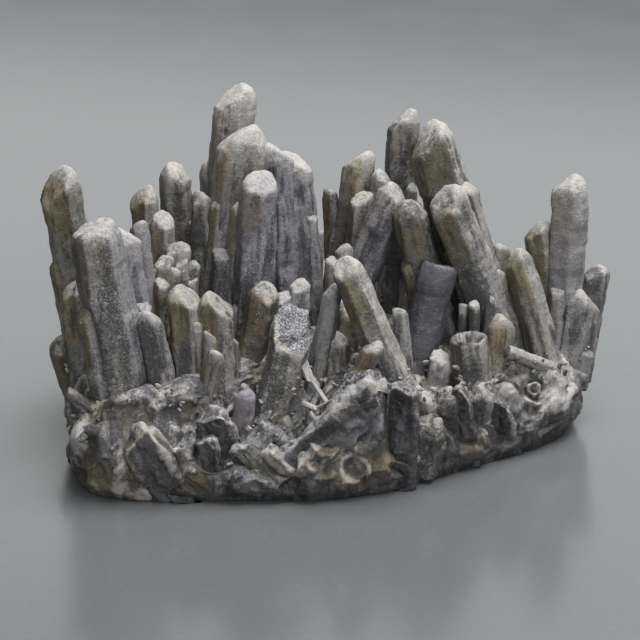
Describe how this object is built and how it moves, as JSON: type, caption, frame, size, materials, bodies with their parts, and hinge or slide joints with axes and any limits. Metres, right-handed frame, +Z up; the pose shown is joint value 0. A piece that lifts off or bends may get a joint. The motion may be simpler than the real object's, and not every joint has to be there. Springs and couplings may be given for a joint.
{
  "type": "morion quartz cluster",
  "caption": "Free-standing cluster of dark smoky quartz crystals, blunt and frosted, grown together on a druse bed that is cut flat to rest on a shelf or table.",
  "frame": {"origin": "middle of the cluster's box, on the flat cut that it rests on", "axes": "+X along the cluster's long side, to the right when its show side is looked at; +Y away from the show side; +Z up"},
  "size_m": [0.1148, 0.064, 0.0693],
  "materials": {
    "smoky_quartz": "frosted dark grey quartz with bluish and olive patches, cream-white druse on the tips and along broken edges, and small glints"
  },
  "bodies": {
    "root": {"quartz_cluster": "smoky_quartz"}
  },
  "joints": []
}
